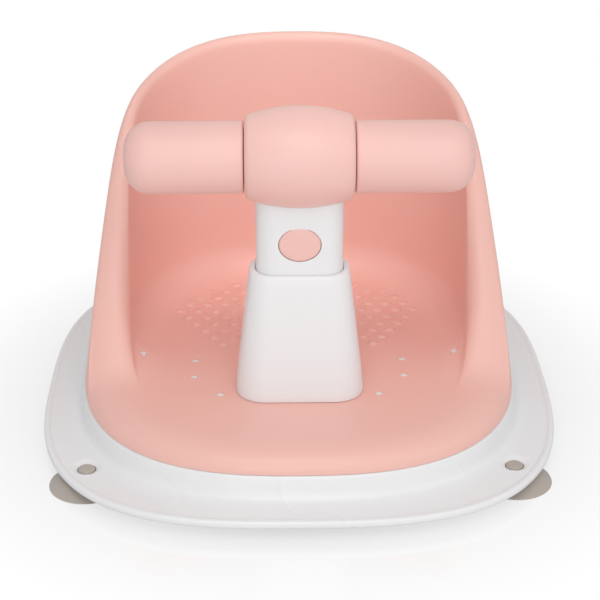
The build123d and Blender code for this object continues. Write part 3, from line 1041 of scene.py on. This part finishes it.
    def rib_between(self, start: Vector, end: Vector) -> bmesh.types.BMesh:
        """One thin upright rib with softened edges, let into the deck.

        Args:
            start: One end.
            end: The other end.

        Returns:
            The bmesh.
        """
        low = self.rib_foot
        high = self.deck - self.wall + self.rib_edge
        mesh = bmesh.new()
        bmesh.ops.create_cube(mesh, size=1.0)
        span = end - start
        size = Vector((max(abs(span.x), self.rib), max(abs(span.y), self.rib), high - low))
        middle = (start + end) / 2 + Vector((0, 0, (low + high) / 2))
        moved(mesh, Matrix.Translation(middle) @ Matrix.Diagonal((*size, 1)))
        return bevelled(mesh, mesh.edges[:], self.rib_edge, 2)


@dataclass
class SuctionCups:
    """The four translucent suction cups under the corners."""

    finishes: Finishes
    places: tuple[float, float] = (0.1385, 0.117)
    sides: int = 64
    head: Profile = ((0.0, 0.0123), (0.0044, 0.0122), (0.0056, 0.0115), (0.0058, 0.0106))
    neck: Profile = ((0.0058, 0.0066), (0.0098, 0.0066))
    bell: Profile = ((0.0125, 0.0058), (0.0185, 0.0038), (0.023, 0.0016), (0.025, 0.0004), (0.0247, 0.0))
    hollow: Profile = ((0.0225, 0.0003), (0.0115, 0.0032), (0.0, 0.0036))
    sharp: float = 60.0

    def build(self) -> bpy.types.Object:
        """Spin one bell with its neck and head for each corner.

        Returns:
            The cups as one piece.
        """
        profile = (*self.head, *self.neck, *self.bell, *self.hollow)
        made = []
        for x, y in four_corners(*self.places):
            made.append(moved(revolved(profile, self.sides), Matrix.Translation((x, y, 0))))
        clear = self.finishes.cup
        cups = ["suction_cups"]
        return finished(
            "suction_cup_skins", joined(made), Body.BASE, clear, cups, 1, self.sharp
        )


@dataclass
class Post:
    """The white pedestal with its socket, and the neck that stands in it."""

    finishes: Finishes
    middle: Vector = field(default_factory=lambda: Vector((0.0, -0.06, 0.0)))
    segments: int = 96
    floor: float = 0.042
    top: float = 0.1285
    foot_half: tuple[float, float] = (0.0427, 0.0285)
    foot_corner: float = 0.0195
    corner_share: float = 0.55
    draft: float = math.tan(math.radians(6.7))
    foot_rings: Profile = ((0.042, 0.02), (0.042, 0.0016), (0.0424, 0.0006), (0.0436, 0.0))
    wall_rings: Profile = ((0.07, 0.0), (0.1, 0.0), (0.1258, 0.0), (0.1276, 0.0003), (0.1285, 0.0014))
    neck: tuple[float, float, float] = (0.0282, 0.015, 0.013)
    mouth_gap: float = 0.0006
    mouth_depths: tuple[float, ...] = (0.0004, 0.01)
    socket_floor: float = 0.0796
    socket_edge: float = 0.001
    socket_gap: float = 0.0002
    saddle: tuple[float, float] = (0.16, 0.18)
    saddle_inset: float = 0.0001

    def wall(self, turn: float, height: float, inset: float = 0.0) -> Vector:
        """A point of the pedestal's drafted wall."""
        lean = self.draft * (height - self.floor) + inset
        width, depth = self.foot_half
        corner = self.foot_corner - lean * self.corner_share
        return RoundedBox(width - lean, depth - lean, corner, self.middle).at(turn, height)

    def pedestal(self) -> bpy.types.Object:
        """Loft the pedestal from its foot over its top edge down into the socket.

        Returns:
            The pedestal.
        """
        neck = RoundedBox(*self.neck, self.middle)
        heights = [self.top - depth for depth in self.mouth_depths]
        heights += [self.socket_floor + self.socket_edge, self.socket_floor]
        loft = RingLoft(self.segments)
        loft.rings(self.wall, (*self.foot_rings, *self.wall_rings))
        loft.rings(neck.at, [(self.top, self.mouth_gap)])
        loft.rings(neck.at, [(height, self.socket_gap) for height in heights])
        foot = self.middle + Vector((0, 0, self.floor))
        mesh = loft.closed(foot, self.middle + Vector((0, 0, self.socket_floor)))
        white = self.finishes.post
        return finished("pedestal_skin", mesh, Body.BASE, white, ["post_pedestal"], 1)

    def neck_top(self) -> bpy.types.Object:
        """Loft the top of the neck up into the barrel, so that no gap shows under the saddle.

        Returns:
            The neck's top.
        """
        low, high = self.saddle
        section = RoundedBox(*(size - self.saddle_inset for size in self.neck), self.middle)
        loft = RingLoft(self.segments)
        loft.rings(section.at, (low, low, (low + high) / 2, high, high))
        mesh = loft.closed(self.middle + Vector((0, 0, low)), self.middle + Vector((0, 0, high)))
        return finished("neck_top_skin", mesh, Body.BAR, self.finishes.post)

    def build(self) -> list[bpy.types.Object]:
        """Build the pedestal and the top of the neck.

        Returns:
            The pieces.
        """
        return [self.pedestal(), self.neck_top()]


@dataclass
class TBar:
    """The pink barrel, its two turning grips and the release button."""

    finishes: Finishes
    axis: Vector = field(default_factory=lambda: Vector((0.0, -0.06, 0.2035)))
    sides: int = 96
    barrel_steps: int = 12
    barrel_half: float = 0.0345
    barrel_radius: float = 0.0323
    barrel_end: float = 0.0262
    barrel_bore: float = 0.014
    barrel_round: tuple[float, int] = (0.0035, 5)
    grip_gap: float = 0.0005
    grip_length: float = 0.075
    grip_radius: float = 0.0229
    grip_floor: float = 0.104
    grip_round: tuple[float, int] = (0.0018, 4)
    dome_round: tuple[float, int] = (0.0165, 14)
    bore: float = 0.01208
    button_height: float = 0.1495
    button_half: tuple[float, float] = (0.0135, 0.0113)
    button_segments: int = 64
    neck_depth: float = 0.015
    crown: Profile = ((-0.011, -0.0008), (-0.006, -0.0008), (-0.002, -0.00072), (-0.0006, -0.0005))
    button_wall: Profile = ((0.0, 0.0001), (0.0, 0.0028))
    button_flange: Profile = ((0.0014, 0.0029), (0.0014, 0.0045), (-0.008, 0.0046))
    button_ends: tuple[float, float] = (-0.0008, 0.0051)

    def along_bar(self, flip: bool = False) -> Matrix:
        """The matrix that lays a shape spun round Z along the bar, and turns it end for end."""
        return Matrix.Translation(self.axis) @ Matrix.Rotation(math.radians(-90 if flip else 90), 4, "Y")

    def barrel(self) -> bpy.types.Object:
        """Spin the swollen barrel round the bar.

        Returns:
            The barrel.
        """
        steps = self.barrel_steps
        half = self.barrel_half
        bore = self.barrel_bore
        swell = self.barrel_radius - self.barrel_end
        places = [half * (2 * index / steps - 1) for index in range(steps + 1)]
        skin = [(self.barrel_radius - swell * (place / half) ** 2, place) for place in places]
        profile = [(bore, -half), *skin, (bore, half), (bore, -half)]
        mesh = revolved(profile, self.sides, {1: self.barrel_round, steps + 1: self.barrel_round})
        mesh = moved(mesh, self.along_bar())
        return finished("barrel_skin", mesh, Body.BAR, self.finishes.bar, ["bar_barrel"])

    def grip(self, side: int) -> bpy.types.Object:
        """Spin one grip with its domed outer end.

        Args:
            side: 1 for the right grip and -1 for the left.

        Returns:
            The grip.
        """
        start = self.barrel_half + self.grip_gap
        end = start + self.grip_length
        radius = self.grip_radius
        outside = [(self.bore, start), (radius, start), (radius, end), (0.0, end)]
        inside = [(0.0, self.grip_floor), (self.bore, self.grip_floor), (self.bore, start)]
        mesh = revolved(outside + inside, self.sides, {1: self.grip_round, 2: self.dome_round})
        mesh = moved(mesh, self.along_bar(side < 0))
        name = "right" if side > 0 else "left"
        body = Body.RIGHT_GRIP if side > 0 else Body.LEFT_GRIP
        pink = self.finishes.grip
        return finished(f"grip_{name}_skin", mesh, body, pink, [f"grip_{name}"])

    def button(self) -> bpy.types.Object:
        """Draw the oval button out of a circle, slightly crowned, with its flange behind the neck's wall.

        Returns:
            The button.
        """
        front = self.axis.y - self.neck_depth
        width, height = self.button_half

        def oval(turn: float, grow: float, depth: float) -> Vector:
            """A point of the button's outline, drawn out all round, at a depth behind the neck's face."""
            x = (width + grow) * math.cos(turn)
            z = self.button_height + (height + grow) * math.sin(turn)
            return Vector((x, front + depth, z))

        outline = RingLoft(self.button_segments)
        outline.rings(oval, (*self.crown, *self.button_wall, *self.button_flange))
        face, back = (Vector((0, front + depth, self.button_height)) for depth in self.button_ends)
        mesh = outline.closed(face, back)
        pink = self.finishes.bar
        return finished("button_skin", mesh, Body.BUTTON, pink, ["release_button"], 1)

    def build(self) -> list[bpy.types.Object]:
        """Build the barrel, grips and button.

        Returns:
            The pieces.
        """
        return [self.barrel(), self.grip(-1), self.grip(1), self.button()]


@dataclass
class InnerParts:
    """The CAD nodes whose shape is right and that only take a finish."""

    finishes: Finishes

    def build(self) -> list[bpy.types.Object]:
        """Give each kept node its finish.

        Returns:
            The nodes.
        """
        finish = {
            "neck_front_shell": self.finishes.post,
            "neck_rear_shell": self.finishes.post,
            "crossbar_core": self.finishes.post,
            "latch_clip": self.finishes.clip,
            "seat_screws": self.finishes.screw,
            "pedestal_screws": self.finishes.screw,
            "neck_screws": self.finishes.screw,
            "barrel_screws": self.finishes.screw,
        }
        for name, material in finish.items():
            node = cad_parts[name]
            node.data.materials.clear()
            node.data.materials.append(material)
        return [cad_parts[name] for name in finish]


# The studio


def aimed(name: str, data: bpy.types.ID, place: Vector, at: Vector) -> bpy.types.Object:
    """Put a lamp or camera in the scene so that it looks at a point.

    Args:
        name: The object's name.
        data: The lamp's or camera's data.
        place: Where it stands.
        at: The point that it looks at.

    Returns:
        The object.
    """
    thing = bpy.data.objects.new(name, data)
    thing.location = place
    thing.rotation_mode = "QUATERNION"
    thing.rotation_quaternion = (at - place).to_track_quat("-Z", "Y")
    bpy.context.scene.collection.objects.link(thing)
    return thing


@dataclass(frozen=True)
class SoftLamp:
    """One soft square lamp.

    Attributes:
        name: Its name.
        place: Where it hangs.
        size: Its width and height.
        power: Its power in watts.
    """

    name: str
    place: tuple[float, float, float]
    size: float
    power: float

    def hang(self, at: Vector) -> bpy.types.Object:
        """Hang the lamp so that it looks at a point.

        Args:
            at: The point.

        Returns:
            The lamp.
        """
        light = bpy.data.lights.new(self.name, "AREA")
        light.size = self.size
        light.energy = self.power
        return aimed(self.name, light, Vector(self.place), at)


@dataclass
class Studio:
    """Plain pale floor, soft lights and the camera of the photograph."""

    focal: float = 99.0
    sensor: float = 36.0
    distance: float = 1.11
    elevation: float = math.radians(26.0)
    swing: float = math.radians(1.0)
    target: Vector = field(default_factory=lambda: Vector((0.0008, -0.032, 0.09)))
    ambient: float = 0.6
    lamps: tuple[SoftLamp, ...] = (
        SoftLamp("key", (0.25, -1.6, 1.1), 1.2, 4.0),
        SoftLamp("low front", (-0.15, -1.7, 0.5), 1.0, 3.2),
        SoftLamp("fill", (1.3, -0.7, 0.9), 1.0, 1.5),
        SoftLamp("top", (0.0, -0.85, 1.5), 1.0, 5.0),
    )
    spot_from: Vector = field(default_factory=lambda: Vector((0.0, -0.25, 0.75)))
    spot_at: Vector = field(default_factory=lambda: Vector((0.0, 0.112, 0.115)))
    spot_power: float = 8.0
    spot_angle: float = math.radians(17.0)
    spot_blend: float = 0.9
    spot_radius: float = 0.08
    floor_half: float = 6.0
    floor_grey: float = 0.9
    floor_roughness: float = 0.06
    floor_ior: float = 3.6
    fade: tuple[float, float] = (0.17, 0.28)
    glow_near: float = 0.6

    def floor(self) -> bpy.types.Object:
        """Lay the floor, white to the camera away from the object.

        Returns:
            The floor.
        """
        mesh = bmesh.new()
        bmesh.ops.create_grid(mesh, x_segments=1, y_segments=1, size=self.floor_half)
        data = bpy.data.meshes.new("floor")
        mesh.to_mesh(data)
        mesh.free()
        floor = bpy.data.objects.new("floor", data)
        bpy.context.scene.collection.objects.link(floor)
        floor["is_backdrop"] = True
        material = bpy.data.materials.new("White studio floor")
        material.use_nodes = True
        tree = material.node_tree
        shader = tree.nodes["Principled BSDF"]
        shader.inputs["Base Color"].default_value = (*[self.floor_grey] * 3, 1)
        shader.inputs["Roughness"].default_value = self.floor_roughness
        shader.inputs["IOR"].default_value = self.floor_ior
        glow = tree.nodes.new("ShaderNodeEmission")
        mix = tree.nodes.new("ShaderNodeMixShader")
        path = tree.nodes.new("ShaderNodeLightPath")
        where = tree.nodes.new("ShaderNodeTexCoord")
        length = tree.nodes.new("ShaderNodeVectorMath")
        length.operation = "LENGTH"
        tree.links.new(where.outputs["Object"], length.inputs[0])
        fade = tree.nodes.new("ShaderNodeMapRange")
        fade.inputs["From Min"].default_value = self.fade[0]
        fade.inputs["From Max"].default_value = self.fade[1]
        fade.inputs["To Min"].default_value = self.glow_near
        fade.inputs["To Max"].default_value = 1.0
        tree.links.new(length.outputs["Value"], fade.inputs["Value"])
        seen = math_node(tree, "MULTIPLY", fade.outputs["Result"], path.outputs["Is Camera Ray"])
        tree.links.new(seen, mix.inputs["Fac"])
        tree.links.new(shader.outputs["BSDF"], mix.inputs[1])
        tree.links.new(glow.outputs["Emission"], mix.inputs[2])
        tree.links.new(mix.outputs["Shader"], tree.nodes["Material Output"].inputs["Surface"])
        data.materials.append(material)
        return floor

    def world(self) -> None:
        """Light everything evenly and stay white behind the object."""
        world = bpy.data.worlds.new("Soft white room")
        bpy.context.scene.world = world
        world.use_nodes = True
        tree = world.node_tree
        background = tree.nodes["Background"]
        background.inputs["Color"].default_value = (1, 1, 1, 1)
        path = tree.nodes.new("ShaderNodeLightPath")
        level = tree.nodes.new("ShaderNodeMapRange")
        level.inputs["To Min"].default_value = self.ambient
        level.inputs["To Max"].default_value = 1.0
        tree.links.new(path.outputs["Is Camera Ray"], level.inputs["Value"])
        tree.links.new(level.outputs["Result"], background.inputs["Strength"])

    def spot(self) -> bpy.types.Object:
        """Hang one soft spot that passes over the bar and brightens the inside of the seat's back.

        Returns:
            The spot.
        """
        light = bpy.data.lights.new("inside", "SPOT")
        light.energy = self.spot_power
        light.spot_size = self.spot_angle
        light.spot_blend = self.spot_blend
        light.shadow_soft_size = self.spot_radius
        return aimed("inside", light, self.spot_from, self.spot_at)

    def camera(self) -> bpy.types.Object:
        """Set up the camera where the photograph was taken from.

        Returns:
            The camera.
        """
        data = bpy.data.cameras.new("photo camera")
        data.lens = self.focal
        data.sensor_width = self.sensor
        level = math.cos(self.elevation)
        across = -math.sin(self.swing) * level
        along = -math.cos(self.swing) * level
        away = Vector((across, along, math.sin(self.elevation)))
        camera = aimed("photo camera", data, self.target + away * self.distance, self.target)
        bpy.context.scene.camera = camera
        return camera

    def build(self) -> None:
        """Set the floor, lights, camera and view transform."""
        self.floor()
        self.world()
        for lamp in self.lamps:
            lamp.hang(self.target)
        self.spot()
        self.camera()
        bpy.context.scene.view_settings.view_transform = "Standard"


def main() -> None:
    """Build every sub-assembly in order, then the studio, and report each piece."""
    logging.basicConfig(level=logging.INFO, format="%(name)s: %(message)s")
    finishes = Finishes(SharedEffects())
    for kind in (SeatShell, BaseTray, SuctionCups, Post, TBar, InnerParts):
        kind(finishes).build()
        LOG.info("built %s", kind.__name__)
    Studio().build()
    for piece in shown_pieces():
        LOG.info("%s: %d faces", piece.name, len(piece.data.polygons))


if __name__ == "__main__":
    main()
